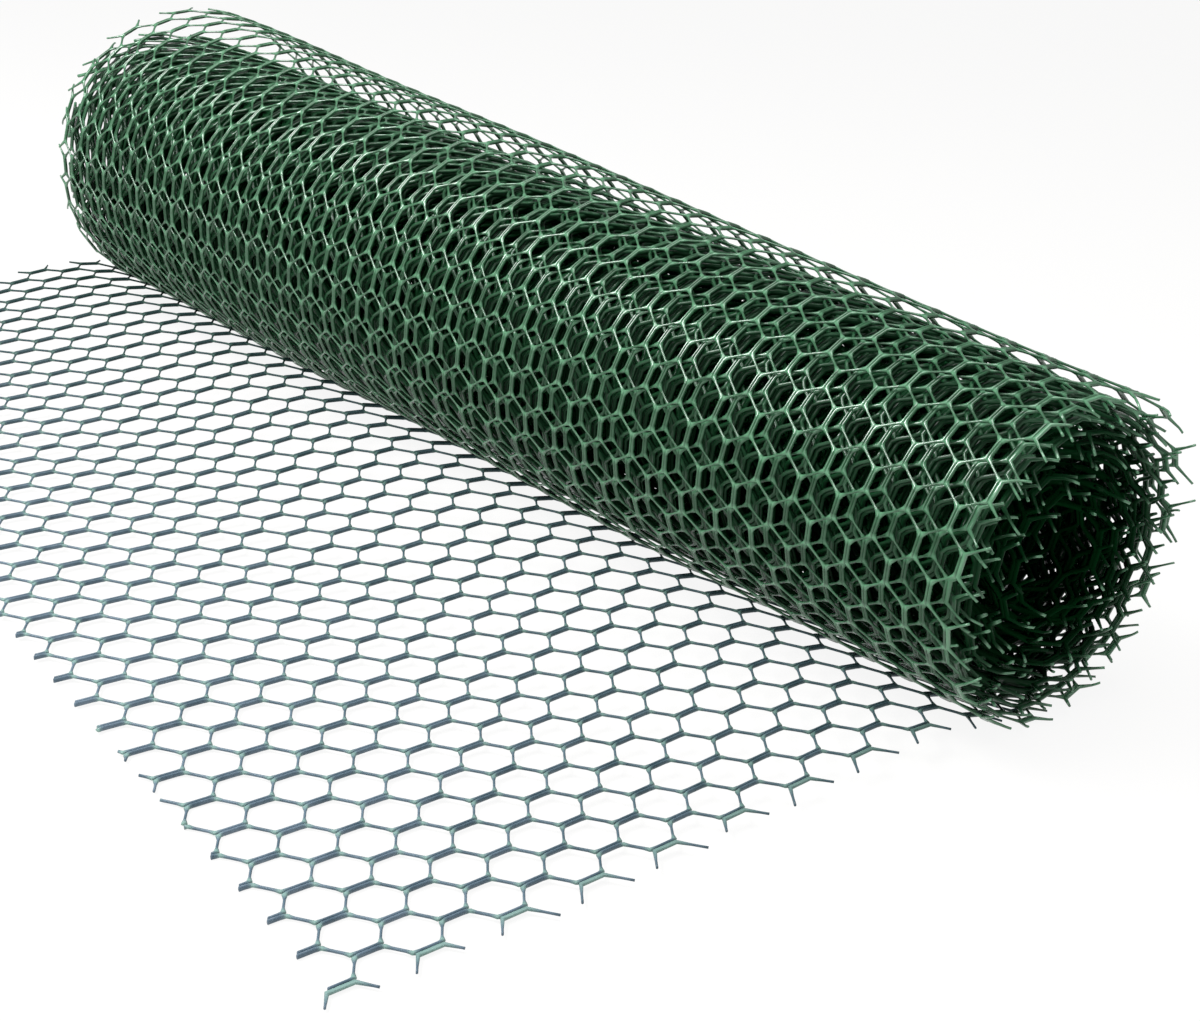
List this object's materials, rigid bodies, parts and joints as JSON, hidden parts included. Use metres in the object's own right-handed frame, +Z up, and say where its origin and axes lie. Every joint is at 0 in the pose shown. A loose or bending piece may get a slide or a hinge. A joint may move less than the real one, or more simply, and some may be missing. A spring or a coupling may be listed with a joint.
{
  "type": "roll of turf protection mesh",
  "caption": "Roll of open hexagonal plastic turf mesh lying on its side, with its hollow middle open and its free end laid out flat on the ground.",
  "frame": {"origin": "on the floor under the middle of the roll's axis, on the line where the roll lies", "axes": "+X along the roll's axis, -Y towards the free end of the laid length, +Z up"},
  "size_m": [1.0083, 0.6066, 0.2539],
  "materials": {
    "rolled_mesh": "semi-gloss extruded polyethylene",
    "laid_mesh": "semi-gloss extruded polyethylene"
  },
  "bodies": {
    "root": {"mesh_roll": "rolled_mesh", "laid_mesh_1": "laid_mesh", "laid_mesh_2": "laid_mesh", "laid_mesh_3": "laid_mesh"}
  },
  "joints": []
}
